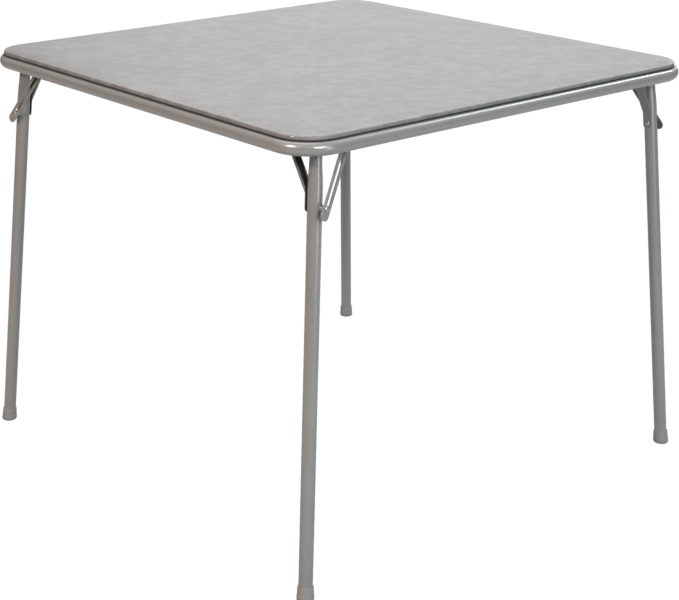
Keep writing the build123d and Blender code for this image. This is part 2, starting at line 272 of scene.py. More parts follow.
@dataclass(frozen=True)
class Finish:
    """A finish, which makes its material once.

    Attributes:
        name: The material's name.
        slot: The record's material slot of its pieces; not used.
        clean: Its main colour.
        dull: The colour of its dulled, dusty or aged patches.
    """

    name: str
    slot: str
    clean: Colour
    dull: Colour

    def material(self) -> bpy.types.Material:
        """Fetch the finish's material, and make it the first time."""
        made = bpy.data.materials.get(self.name)
        if made is None:
            made = bpy.data.materials.new(self.name)
            self.draw(Net(made))
        return made

    def draw(self, net: Net) -> None:
        """Draw the finish.

        Args:
            net: The material's new network.
        """
        raise NotImplementedError


@dataclass(frozen=True)
class Enamel(Finish):
    """Stove enamel on steel: a slight orange peel under a clear gloss, rubbed at the edges.

    Attributes:
        rub: How much bare edge shows, from 0 to 1.
        shaded_above: The height above which the paint turns near black: painted shade on the
            rail's top in the crease under the pad.
        legward_shade: How much painted shade darkens faces that look from strut to leg, or, where
            it's negative, faces that look the other way.
    """

    rub: float = 0.5
    shaded_above: float = 1.0
    legward_shade: float = 0.0

    def draw(self, net: Net) -> None:
        """Draw the enamel."""
        clouds = net.noise(11.0, 5.0, 0.6).smooth(0.36, 0.66)
        scuffs = net.noise(1.0, 6.0, 0.7, net.stretched((420.0, 420.0, 38.0))).smooth(0.66, 0.78)
        grime = 1.0 - net.height().smooth(0.02, 0.16)
        body = net.mix(clouds * 0.55 + grime * 0.25, self.clean, self.dull)
        edge = net.read("NewGeometry", "Pointiness")
        worn = edge.smooth(0.53, 0.60) * net.noise(260.0, 4.0, 0.7).smooth(0.42, 0.62) * self.rub
        marked = net.mix(scuffs * 0.08, body, (0.36, 0.35, 0.34))
        bright = net.mix(worn * 0.6, marked, (0.50, 0.48, 0.46))
        # Painted shade: near black and without its coat above crevice and on the faces that hollow
        # picks.
        painted_shade = net.height().smooth(self.shaded_above, self.shaded_above + 0.0014)
        if self.legward_shade:
            side = net.legward() * math.copysign(1.0, self.legward_shade)
            painted_shade = painted_shade + side.smooth(0.5, 0.7) * abs(self.legward_shade)
        sag = net.bump(net.noise(40.0, 1.0), 0.00005, 0.35)
        net.surface(
            Base_Color=net.mix(painted_shade * 0.85, bright, (0.030, 0.030, 0.028)),
            Roughness=0.40 + clouds * 0.07 + scuffs * 0.08 + grime * 0.1,
            Metallic=worn * 0.25,
            Coat_Weight=(1.0 - scuffs * 0.2) * (1.0 - painted_shade),
            Coat_Roughness=0.24,
            Coat_IOR=2.0,
            Normal=net.bump(net.noise(950.0), 0.000006, 0.3, sag),
        )


@dataclass(frozen=True)
class Vinyl(Finish):
    """Embossed upholstery vinyl: pebbled leather grain over a soft clouded print.

    Attributes:
        shaded_below: The height below which the rolled edge turns near black: painted shade in the
        crease above the rail.
        shoulder: The height below which the drawn vinyl is glossier.
    """

    shaded_below: float = 0.7040
    shoulder: float = 0.7098

    def draw(self, net: Net) -> None:
        """Draw the vinyl."""
        pushed = net.warped(60.0, 0.0022)
        pebbles = net.cells(430.0, "SMOOTH_F1", pushed)
        creases = net.cells(300.0, "DISTANCE_TO_EDGE", pushed).smooth(0.0, 0.16)
        folds = net.noise(34.0, 4.0, 0.6, net.stretched((1.0, 1.7, 1.0), (0.0, 0.0, 0.5)))
        drifts = net.noise(9.0, 7.0, 0.66, net.warped(6.0, 0.03)).smooth(0.36, 0.66)
        wisps = net.noise(40.0, 5.0, 0.62, net.warped(20.0, 0.012)).smooth(0.40, 0.62)
        tone = drifts * 0.35 + wisps * 0.65
        printed = net.mix(tone, self.dull, self.clean)
        lined = net.mix((1.0 - creases) * 0.22, printed, (0.11, 0.105, 0.10))
        # Painted shade: the rolled edge below roll darkens to near black in the crease above the
        # rail.
        gap_shade = 1.0 - net.height().smooth(self.shaded_below - 0.0014, self.shaded_below)
        drawn = 1.0 - net.height().smooth(self.shoulder - 0.0012, self.shoulder)
        grain = creases * 0.55 + pebbles * -0.45 + net.noise(2100.0) * 0.12
        net.surface(
            Base_Color=net.mix(gap_shade * 0.8, lined, (0.030, 0.030, 0.029)),
            Roughness=0.46 + tone * 0.06 + (1.0 - creases) * 0.08 - drawn * 0.29,
            Specular_IOR_Level=0.42,
            Normal=net.bump(grain, 0.00016, 0.5, net.bump(folds, 0.0006, 0.22)),
        )


@dataclass(frozen=True)
class Plated(Finish):
    """Zinc-plated steel: satin, clouded, with fine drawn lines.

    Attributes:
        gloss: The roughness of the clean metal.
    """

    gloss: float = 0.3

    def draw(self, net: Net) -> None:
        """Draw the plating."""
        clouds = net.noise(150.0, 5.0, 0.6).smooth(0.35, 0.65)
        lines = net.noise(1.0, 3.0, 0.6, net.stretched((240.0, 240.0, 4200.0), (0.6, 0.4, 0.0)))
        spots = net.cells(900.0).smooth(0.12, 0.3)
        net.surface(
            Base_Color=net.mix(clouds * 0.6 + (1.0 - spots) * 0.15, self.clean, self.dull),
            Roughness=self.gloss + clouds * 0.12 + lines * 0.08,
            Metallic=0.88,
            Normal=net.bump(lines * 0.6 + clouds * 0.4, 0.00003, 0.5),
        )


class Rubber(Finish):
    """Moulded grey rubber with a dusty bloom that is heavier near the floor."""

    def draw(self, net: Net) -> None:
        """Draw the rubber."""
        bloom = net.noise(90.0, 6.0, 0.65).smooth(0.4, 0.7)
        low = 1.0 - net.height().smooth(0.0, 0.008)
        net.surface(
            Base_Color=net.mix(bloom * 0.35 + low * 0.4, self.clean, self.dull),
            Roughness=0.58 + bloom * 0.14 + low * 0.1,
            Specular_IOR_Level=0.35,
            Normal=net.bump(net.noise(1500.0), 0.00006, 0.5),
        )


@dataclass(frozen=True)
class Hardboard(Finish):
    """Raw hardboard, fibrous, with the screen's fine square print on its rough side.

    Attributes:
        screen: The screen's pitch.
    """

    screen: float = 0.0016

    def draw(self, net: Net) -> None:
        """Draw the board."""
        mottles = net.noise(46.0, 8.0, 0.7).smooth(0.32, 0.7)
        fibres = net.noise(1.0, 6.0, 0.7, net.stretched((160.0, 900.0, 900.0), (0.0, 0.0, 0.4)))
        chips = net.noise(420.0, 3.0, 0.6).smooth(0.58, 0.72)
        rate = FULL_TURN / self.screen
        across, along = (net.maths("SINE", part * rate) for part in net.parts(net.place)[:2])
        weave = across * along * 0.5 + 0.5
        brown = net.mix(mottles * 0.6 + fibres * 0.3, self.clean, self.dull)
        net.surface(
            Base_Color=net.mix(chips * 0.35, brown, (0.36, 0.24, 0.14)),
            Roughness=0.82 - mottles * 0.1,
            Specular_IOR_Level=0.25,
            Normal=net.bump(weave * 0.5 + fibres * 0.5, 0.0002, 0.6),
        )


class Foam(Finish):
    """Open-celled upholstery foam with yellowed patches."""

    def draw(self, net: Net) -> None:
        """Draw the foam."""
        pores = net.cells(1300.0, "SMOOTH_F1")
        aged = net.noise(18.0, 4.0, 0.6).smooth(0.4, 0.65)
        net.surface(
            Base_Color=net.mix(aged, self.clean, self.dull),
            Roughness=0.9 - pores * 0.1,
            Specular_IOR_Level=0.15,
            Normal=net.bump(pores, 0.0004, 0.8),
        )


TUBE_PAINT = (0.262, 0.260, 0.253), (0.226, 0.224, 0.217)
SHEET_PAINT = (0.240, 0.238, 0.231), (0.200, 0.198, 0.191)
# The strut's paint is a darker copy of the sheet paint: painted shade, for the strut that hangs in
# shadow under the top.
SHADED_STRUT_PAINT = (0.165, 0.167, 0.162), (0.125, 0.126, 0.122)
LINK_PAINT = (0.285, 0.275, 0.262), (0.240, 0.230, 0.217)
# crevice and hollow set where these enamels carry painted shade.
FRAME_ENAMEL = Enamel("frame_enamel", "frame_paint", *TUBE_PAINT, shaded_above=0.6996)
LEG_ENAMEL = Enamel("leg_enamel", "leg_paint", *TUBE_PAINT)
SHEET_ENAMEL = Enamel("sheet_enamel", "frame_paint", *SHEET_PAINT, rub=0.9)
STRUT_ENAMEL = Enamel("strut_enamel", "frame_paint", *SHADED_STRUT_PAINT, rub=0.9, legward_shade=0.95)
LINK_ENAMEL = Enamel("link_enamel", "link_steel", *LINK_PAINT, rub=1.0, legward_shade=-0.75)
ZINC = Plated("bright_zinc", "zinc_steel", (0.62, 0.61, 0.60), (0.40, 0.39, 0.38))
MILL_STEEL = Plated("mill_steel", "bare_steel", (0.42, 0.42, 0.42), (0.28, 0.27, 0.26), 0.42)
TOP_VINYL = Vinyl("top_vinyl", "vinyl", (0.272, 0.269, 0.267), (0.200, 0.196, 0.194))
CAP_RUBBER = Rubber("cap_rubber", "cap_rubber", (0.205, 0.200, 0.192), (0.330, 0.318, 0.300))
RAW_BOARD = Hardboard("raw_hardboard", "hardboard", (0.235, 0.135, 0.072), (0.125, 0.068, 0.036))
PAD_FOAM = Foam("pad_foam", "foam", (0.72, 0.68, 0.56), (0.62, 0.55, 0.38))


# Workshop


def frame_at(origin: Vector, out: Vector, along: Vector) -> Matrix:
    """Make the placing matrix of a local frame.

    Args:
        origin: The frame's origin.
        out: The direction of its z.
        along: The direction that its x follows as nearly as it can.

    Returns:
        The matrix.
    """
    z_axis = out.normalized()
    y_axis = z_axis.cross(along).normalized()
    turned = Matrix((y_axis.cross(z_axis), y_axis, z_axis)).transposed().to_4x4()
    return Matrix.Translation(origin) @ turned


def spun(profile: Profile, segments: int) -> Mesh:
    """Turn a closed profile about z.

    Args:
        profile: Radius and height of each point, in order; a point may lie on the axis.
        segments: The steps of the full turn.
    """
    mesh = bmesh.new()
    verts = [mesh.verts.new((radius, 0.0, height)) for radius, height in profile]
    for first, second in zip(verts, verts[1:] + verts[:1]):
        if first.co.x > MERGE or second.co.x > MERGE:
            mesh.edges.new((first, second))
    geom = mesh.verts[:] + mesh.edges[:]
    bmesh.ops.spin(mesh, geom=geom, axis=UP, angle=FULL_TURN, steps=segments, use_merge=True)
    sew(mesh)
    return mesh


def sew(mesh: Mesh) -> None:
    """Merge a mesh's doubled points and turn its faces outwards."""
    bmesh.ops.remove_doubles(mesh, verts=mesh.verts[:], dist=MERGE)
    bmesh.ops.recalc_face_normals(mesh, faces=mesh.faces[:])


def dome(radius: float, base: float, rise: float) -> Profile:
    """List a low dome's profile, from its edge to its middle.

    Args:
        radius: The dome's radius.
        base: The height of its edge.
        rise: How far its middle stands above that, below it where negative.

    Returns:
        Radius and height of each point.
    """
    steps = 5
    sweep = [QUARTER_TURN * index / steps for index in range(steps + 1)]
    return [(max(0.0, radius * math.cos(a)), base + rise * math.sin(a)) for a in sweep]


def rivet(
    low: float, high: float, shank: float, head: float, low_rise: float, rise: float
) -> Mesh:
    """Turn a rivet along z.

    Args:
        low: Where the shank starts.
        high: Where it ends.
        shank: The shank's radius.
        head: The heads' radius.
        low_rise: The height of the head below, or 0 for none.
        rise: The height of the head above, or 0 for none.
    """
    ends = []
    for seat, lift in ((low, -low_rise), (high, rise)):
        crown = [(head, seat), *dome(head, seat + lift * 0.2, lift * 0.8)]
        ends.append([(shank, seat), *(crown if lift else [(0.0, seat)])])
    return spun(ends[0][::-1] + ends[1], 28)


def block(mesh: Mesh, place: Matrix, size: Point) -> None:
    """Add a box of this size about a place."""
    bmesh.ops.create_cube(mesh, size=1.0, matrix=place @ Matrix.Diagonal((*size, 1.0)))


def ease(mesh: Mesh, edges: Edges, offset: float, segments: int) -> None:
    """Round edges, starting this far from each and in this many steps."""
    sizes = {"offset": offset, "segments": segments, "profile": 0.5}
    bmesh.ops.bevel(mesh, geom=edges, affect="EDGES", **sizes)


def inset(mesh: Mesh, faces: list[bmesh.types.BMFace], step_in: float, step_up: float) -> None:
    """Step the rest of a region in and up from its border."""
    mesh.normal_update()
    steps = {"thickness": step_in, "depth": step_up}
    bmesh.ops.inset_region(mesh, faces=faces, use_even_offset=True, **steps)


def edges_in(items: list[bmesh.types.BMElem]) -> Edges:
    """Pick the edges among the results of a bmesh operator."""
    return [item for item in items if isinstance(item, bmesh.types.BMEdge)]


def cut(mesh: Mesh, point: Vector, normal: Vector, **how: object) -> Edges:
    """Cut a mesh along the plane through a point, and list the edges on the cut."""
    how.update(geom=mesh.verts[:] + mesh.edges[:] + mesh.faces[:], plane_co=point, plane_no=normal)
    return edges_in(bmesh.ops.bisect_plane(mesh, **how)["geom_cut"])


def moved(mesh: Mesh, matrix: Matrix) -> Mesh:
    """Carry a mesh to its place, and hand it back."""
    bmesh.ops.transform(mesh, matrix=matrix, verts=mesh.verts[:])
    return mesh


def linked(name: str, data: bpy.types.ID | Mesh) -> bpy.types.Object:
    """Put an object in the scene.

    Args:
        name: Its name.
        data: Its data, or a mesh under construction, which is used up.

    Returns:
        The object.
    """
    if isinstance(data, Mesh):
        mesh, data = data, bpy.data.meshes.new(name)
        mesh.to_mesh(data)
        mesh.free()
    made = bpy.data.objects.new(name, data)
    bpy.context.scene.collection.objects.link(made)
    return made


def joined(meshes: list[Mesh]) -> Mesh:
    """Gather several meshes, which are used up, in one."""
    whole = bmesh.new()
    held = bpy.data.meshes.new("held")
    for mesh in meshes:
        mesh.to_mesh(held)
        mesh.free()
        whole.from_mesh(held)
    bpy.data.meshes.remove(held)
    return whole


def wall(made: bpy.types.Object, thickness: float) -> None:
    """Thicken an open piece inwards."""
    solid = made.modifiers.new("wall", "SOLIDIFY")
    solid.thickness, solid.offset = thickness, -1.0


def named(rows: list[dict], name: str) -> dict:
    """Find the joint or mount of this name."""
    return next(row for row in rows if row["name"] == name)


class Sweep:
    """A tube drawn along straight runs and bends."""

    def __init__(self, start: Matrix, radius: float, segments: int) -> None:
        """Start with a ring.

        Args:
            start: The ring's place, its z along the first run.
            radius: The tube's radius.
            segments: The ring's steps.
        """
        self.mesh = bmesh.new()
        bmesh.ops.create_circle(self.mesh, radius=radius, segments=segments, matrix=start)
        self.edges = self.mesh.edges[:]

    def run(self, x: float, y: float) -> None:
        """Draw the tube straight on, this far along x and along y."""
        drawn = bmesh.ops.extrude_edge_only(self.mesh, edges=self.edges)["geom"]
        verts = [item for item in drawn if isinstance(item, bmesh.types.BMVert)]
        bmesh.ops.translate(self.mesh, verts=verts, vec=(x, y, 0.0))
        self.edges = [edge for edge in edges_in(drawn) if set(edge.verts) <= set(verts)]

    def bend(self, centre: Point, steps: int) -> None:
        """Bend the tube a quarter turn about an upright line through the centre."""
        turn = {"axis": UP, "angle": QUARTER_TURN, "cent": centre, "steps": steps}
        self.edges = edges_in(bmesh.ops.spin(self.mesh, geom=self.edges, **turn)["geom_last"])


# Sub-assemblies


@dataclass
class Assembly:
    """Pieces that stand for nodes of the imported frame.

    Attributes:
        frame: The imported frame.
        corner: The corner that they stand at, or None.
    """

    frame: dict
    corner: Corner | None = None

    def at(self, name: str) -> str:
        """Name a node or a piece, with the corner's name where there is one."""
        return name if self.corner is None else f"{name}_{self.corner.name.lower()}"

    def add(
        self,
        name: str,
        mesh: Mesh,
        finish: Finish,
        node: str,
        body: Body = Body.FRAME,
        sharp: float = 35.0,
    ) -> bpy.types.Object:
        """Make a finished piece of a mesh, and let it ride.

        Args:
            name: The piece's name, without the corner.
            mesh: Its mesh in place, which is used up.
            finish: Its finish.
            node: The node that it replaces, without the corner.
            body: The kind of body that carries it.
            sharp: The angle past which an edge stays sharp, in degrees.

        Returns:
            The piece.
        """
        made = linked(self.at(name), mesh)
        made.data.shade_smooth()
        made.data.set_sharp_from_angle(angle=math.radians(sharp))
        made.data.materials.append(finish.material())
        rider = body.value if body is Body.FRAME else self.at(body.value)
        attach(made, rider)
        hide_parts(self.at(node))
        LOG.info("%s: %d faces, rides on %s", made.name, len(made.data.polygons), rider)
        return made

    def press(self, name: str, finish: Finish, node: str, body: Body, edge: float) -> None:
        """Make a sheet-metal piece from its node, with the edges eased as pressing leaves them.

        Args:
            name: The piece's name, without the corner.
            finish: Its finish.
            node: The node whose form it has, without the corner.
            body: The kind of body that carries it.
            edge: The width of the eased edge.
        """
        mesh = bmesh.new()
        mesh.from_mesh(self.frame["nodes"][self.at(node)].data)
        bmesh.ops.remove_doubles(mesh, verts=mesh.verts[:], dist=MERGE)
        flat = math.radians(0.5)
        bmesh.ops.dissolve_limit(mesh, angle_limit=flat, verts=mesh.verts[:], edges=mesh.edges[:])
        bevel = self.add(name, mesh, finish, node, body).modifiers.new("edges", "BEVEL")
        bevel.width, bevel.segments = edge, 2
        bevel.limit_method, bevel.angle_limit = "ANGLE", math.radians(35.0)
        bevel.harden_normals = True

    def dress(self, node: str, finish: Finish) -> None:
        """Give a kept node its finish."""
        made = self.frame["nodes"][node]
        made.data.materials.clear()
        made.data.materials.append(finish.material())
        LOG.info("%s: kept, dressed in %s", node, finish.name)


@dataclass
class TubeFrame(Assembly):
    """The tube frame in two bent halves, its sleeves and the panel tabs.

    Attributes:
        half_width: Half the table's width.
        radius: The rail's radius.
        wall: The rail's wall.
        bend: The outside radius of a bend.
        middle: The height of the rail's middle.
        seam: The gap where the halves meet.
        shift: How far a seam lies beside its side's middle.
    """

    half_width: float = 0.432
    radius: float = 0.011
    wall: float = 0.0012
    bend: float = 0.066
    middle: float = 0.691
    seam: float = 0.0004
    shift: float = 0.030

    def half_rail(self) -> Mesh:
        """Bend the outside of the rail's front half, open at both ends."""
        straight = self.half_width - self.bend
        start = Vector((self.radius - self.half_width, -self.shift - self.seam / 2, self.middle))
        around, bend_steps = 64, 56
        sweep = Sweep(frame_at(start, -BACK, UP), self.radius, around)
        sweep.run(0.0, -LIP)
        sweep.run(0.0, -straight - start.y + LIP)
        sweep.bend((-straight, -straight, self.middle), bend_steps)
        sweep.run(2 * straight, 0.0)
        sweep.bend((straight, -straight, self.middle), bend_steps)
        sweep.run(0.0, straight + self.shift - self.seam / 2 - LIP)
        sweep.run(0.0, LIP)
        sew(sweep.mesh)
        return sweep.mesh

    def build(self) -> None:
        """Make the rails, and dress the sleeves and tabs."""
        for side, turn in (("front", 0.0), ("back", math.pi)):
            mesh = moved(self.half_rail(), Matrix.Rotation(turn, 4, "Z"))
            rail = self.add(f"rail_{side}", mesh, FRAME_ENAMEL, f"frame_half_{side}")
            wall(rail, self.wall)
        self.dress("frame_sleeves", MILL_STEEL)
        self.press("welded_tabs", SHEET_ENAMEL, "panel_tabs", Body.FRAME, 0.0003)


@dataclass
class PaddedTop(Assembly):
    """The board with its foam, its stapled vinyl cover and the screws that hold it.

    Attributes:
        half_width: Half the cover's width.
        bend: The cover's corner radius.
        bottom: The height of its underside, where it is stapled.
        rim: The height of its rolled edge, a little lower.
        top: The crown's height.
        thickness: The vinyl's thickness.
        hem: How far it wraps in under the board.
        curl: Its rounding round the board's lower edge.
        pleat: How far a pleat of the hem stands down.
        board: The board's thickness.
        rise: The crown's height above the straight side.
        swell: How far the cloth may leave its cut shape.
        wave: The depth of the slack between staples.
        cell: The width of the cover's cells, which let it bend.
        staple: A staple's length, width and height.
        staple_pitch: The step from one staple to the next.
        staple_line: How far in from the side the staples stand.
        tab_screw: The place of the front right tab's screw.
    """

    half_width: float = 0.4244
    bend: float = 0.0584
    bottom: float = 0.70325
    rim: float = 0.7022
    top: float = 0.711
    thickness: float = 0.0008
    hem: float = 0.0139
    curl: float = 0.0020
    pleat: float = 0.0006
    board: float = 0.003
    rise: float = 0.0042
    swell: float = 0.0004
    wave: float = 0.00028
    cell: float = 0.016
    staple: Point = (0.010, 0.0012, 0.0006)
    staple_pitch: float = 0.058
    staple_line: float = 0.0105
    tab_screw: Pair = (0.150, -0.39585)

    @property
    def straight(self) -> float:
        """Half the straight length of a side."""
        return self.half_width - self.bend

    def pad(self, inwards: float, bottom: float, top: float, curl: float = 0.0) -> Mesh:
        """Raise a crowned pad with a rounded shoulder.

        Args:
            inwards: How far it stands in from the cover's outside.
            bottom: Its lowest height.
            top: Its crown's height.
            curl: The rounding of its lower edge, or 0 for none.

        Returns:
            The closed pad; its lowest face is one whole face.
        """
        rise = min(self.rise, 0.8 * (top - bottom))
        side = 2 * (self.half_width - inwards)
        tall = top - rise - bottom
        mesh = bmesh.new()
        block(mesh, Matrix.Translation((0.0, 0.0, bottom + tall / 2)), (side, side, tall))
        upright = [e for e in mesh.edges if abs(e.verts[0].co.z - e.verts[1].co.z) > tall / 2]
        ease(mesh, upright, self.bend - inwards, 16)
        insets = (0.0, 0.22, 0.8, 1.7, 3.4, 5.8, 8.8, 12.6, 17.5, 23.5, 31.0)
        shares = (0.0, 0.26, 0.46, 0.57, 0.64, 0.71, 0.785, 0.83, 0.90, 0.955, 1.0)
        crown = [*zip(insets, shares)]
        for (outer, low), (inner, high) in zip(crown, crown[1:]):
            face = max(mesh.faces, key=lambda face: face.calc_center_median().z)
            inset(mesh, [face], (inner - outer) * 0.001, (high - low) * rise)
        if curl:
            mesh.normal_update()
            base = min(mesh.faces, key=lambda face: face.calc_center_median().z)
            ease(mesh, base.edges[:], curl, 5)
        return mesh

    def divide(self, mesh: Mesh) -> None:
        """Cut the pad into cells, so that it can bend."""
        count = round(2 * self.straight / self.cell)
        for index in range(count + 1):
            place = self.straight * (2 * index / count - 1.0)
            for normal in (RIGHT, BACK):
                cut(mesh, normal * place, normal, dist=0.0002)

    def sewn_hem(self, mesh: Mesh) -> None:
        """Open the divided pad below, and wrap the vinyl in there, pleated round the corners."""
        mesh.normal_update()
        low = self.rim + MERGE
        base = [face for face in mesh.faces if all(vert.co.z < low for vert in face.verts)]
        rings, pleats = 3, 9
        for ring in range(rings):
            drop = 0.0 if ring else self.rim - self.bottom
            inset(mesh, base, (self.hem - self.curl) / rings, drop)
        bmesh.ops.delete(mesh, geom=base, context="FACES")
        for vert in mesh.verts:
            x, y = abs(vert.co.x) - self.straight, abs(vert.co.y) - self.straight
            if vert.co.z > self.bottom + MERGE or min(x, y) < 0.0:
                continue
            inwards = (self.bend - self.curl - math.hypot(x, y)) / self.hem
            fold = math.sin(math.pi * pleats * math.atan2(y, x) / QUARTER_TURN) ** 2
            vert.co.z -= self.pleat * min(1.0, max(0.0, inwards)) * fold

    def slack(self, mesh: Mesh) -> None:
        """Let the cover's sides draw in where the staples pull."""
        low, high = self.rim + MERGE, self.top - 0.0012
        strong, weak = 48.0, 29.0
        for vert in mesh.verts:
            for axis in (0, 1):
                run = vert.co[1 - axis]
                off_side = abs(vert.co[axis]) < self.straight or abs(run) > self.straight
                if off_side or not low < vert.co.z < high:
                    continue
                pull = math.sin(run * strong + 1.7 * axis) + 0.6 * math.sin(run * weak + 0.8)
                fade = math.cos(run / self.straight * QUARTER_TURN) ** 0.5
                vert.co[axis] -= math.copysign(self.wave * (1.0 + pull / 1.6) * fade, vert.co[axis])

    def tighten(self, cover: bpy.types.Object) -> None:
        """Swell the vinyl over its foam with a short cloth simulation, and keep the result.

        Args:
            cover: The cover, not yet thickened.
        """
        vertices = cover.data.vertices
        rest = [vert.co.copy() for vert in vertices]
        held = cover.vertex_groups.new(name="held")
        for vert in vertices:
            drop = (self.top - vert.co.z) / (self.top - self.bottom)
            held.add([vert.index], min(1.0, max(0.0, (drop - 0.3) * 2.5)), "REPLACE")
        cloth = cover.modifiers.new("cloth", "CLOTH")
        vinyl = cloth.settings
        vinyl.vertex_group_mass = held.name
        vinyl.quality, vinyl.mass = 4, 0.4
        vinyl.tension_stiffness, vinyl.bending_stiffness = 30.0, 2.0
        vinyl.use_pressure, vinyl.uniform_pressure_force = True, 0.6
        vinyl.effector_weights.gravity = 0.0
        cloth.collision_settings.use_collision = False
        first, last = 1, 14
        cloth.point_cache.frame_start, cloth.point_cache.frame_end = first, last
        scene = bpy.context.scene
        for number in range(first, last + 1):
            scene.frame_set(number)
        shaped = cover.evaluated_get(bpy.context.evaluated_depsgraph_get())
        ends = [vert.co.copy() for vert in shaped.data.vertices]
        cover.modifiers.remove(cloth)
        scene.frame_set(first)
        for vert, start, end in zip(vertices, rest, ends):
            step = end - start
            vert.co = start + step.normalized() * self.swell * math.tanh(step.length / self.swell)
        cover.vertex_groups.remove(held)

    def build_cover(self) -> None:
        """Make the vinyl cover."""
        mesh = self.pad(0.0, self.rim, self.top, self.curl)
        self.divide(mesh)
        self.slack(mesh)
        self.sewn_hem(mesh)
        cover = self.add("stapled_cover", mesh, TOP_VINYL, "vinyl_cover", sharp=80.0)
        self.tighten(cover)
        wall(cover, self.thickness)

    def build_foam(self) -> None:
        """Make the foam under the cover, a little clear of it and of the board."""
        inwards = self.thickness + 0.0009
        bottom = self.bottom + self.thickness + self.board + 0.00005
        mesh = self.pad(inwards, bottom, self.top - inwards)
        foam = self.add("foam_core", mesh, PAD_FOAM, "foam_pad", sharp=60.0)

    def build_staples(self) -> None:
        """Drive the staples along the hem."""
        line = self.half_width - self.staple_line
        middle = self.bottom - self.staple[2] / 2
        staples = []
        for corner in Corner:
            for index in range(-6, 7):
                place = Matrix.Translation((index * self.staple_pitch, -line, middle))
                staple = bmesh.new()
                block(staple, corner.turn @ place, self.staple)
                ease(staple, staple.edges[:], 0.00022, 2)
                staples.append(staple)
        self.add("hem_staples", joined(staples), ZINC, "cover_staples")

    def screw(self) -> bpy.types.Object:
        """Turn a pan-head screw and sink its cross.

        Returns:
            The screw as a loose object, head down, its seat at the origin.
        """
        head, shank, length = 0.0037, 0.0018, 0.0044
        side, rise = 0.0004, 0.0017
        profile = [(0.0, length), (shank, length), (shank, 0.0), (head, 0.0)]
        screw = linked("screw_blank", spun(profile + dome(head, -side, -rise), 24))
        cross = bmesh.new()
        for turn in (0.0, QUARTER_TURN):
            arm = Matrix.Rotation(turn, 4, "Z") @ Matrix.Translation((0.0, 0.0, -side - rise))
            block(cross, arm, (0.0040, 0.0008, 0.0022))
        tool = linked("screw_cross", cross)
        sink = screw.modifiers.new("cross", "BOOLEAN")
        sink.operation, sink.object, sink.use_self = "DIFFERENCE", tool, True
        depsgraph = bpy.context.evaluated_depsgraph_get()
        screw.data = bpy.data.meshes.new_from_object(screw.evaluated_get(depsgraph))
        screw.modifiers.clear()
        bpy.data.objects.remove(tool)
        return screw

    def build_screws(self) -> None:
        """Set the sixteen screws: one through each tab, two through each bracket."""
        blank = self.screw()
        hinge = Vector(named(self.frame["joints"], "leg_fold_front_left")["pos_m"])
        seat = self.bottom + self.thickness - 0.002
        x, y = self.tab_screw
        places = [(-x, y), (x, y)]
        places += [(hinge.x + 0.030, hinge.y + 0.002), (hinge.x - 0.020, hinge.y + 0.032)]
        screws = []
        for corner in Corner:
            for number, (x, y) in enumerate(places):
                screw = bmesh.new()
                screw.from_mesh(blank.data)
                spin = Matrix.Rotation(0.7 * number + corner.value, 4, "Z")
                place = corner.turn @ Matrix.Translation((x, y, seat)) @ spin
                screws.append(moved(screw, place))
        bpy.data.objects.remove(blank)
        self.add("pan_screws", joined(screws), ZINC, "panel_screws")

    def build(self) -> None:
        """Make every piece of the top."""
        self.build_cover()
        self.build_foam()
        self.build_staples()
        self.build_screws()
        self.dress("panel_board", RAW_BOARD)


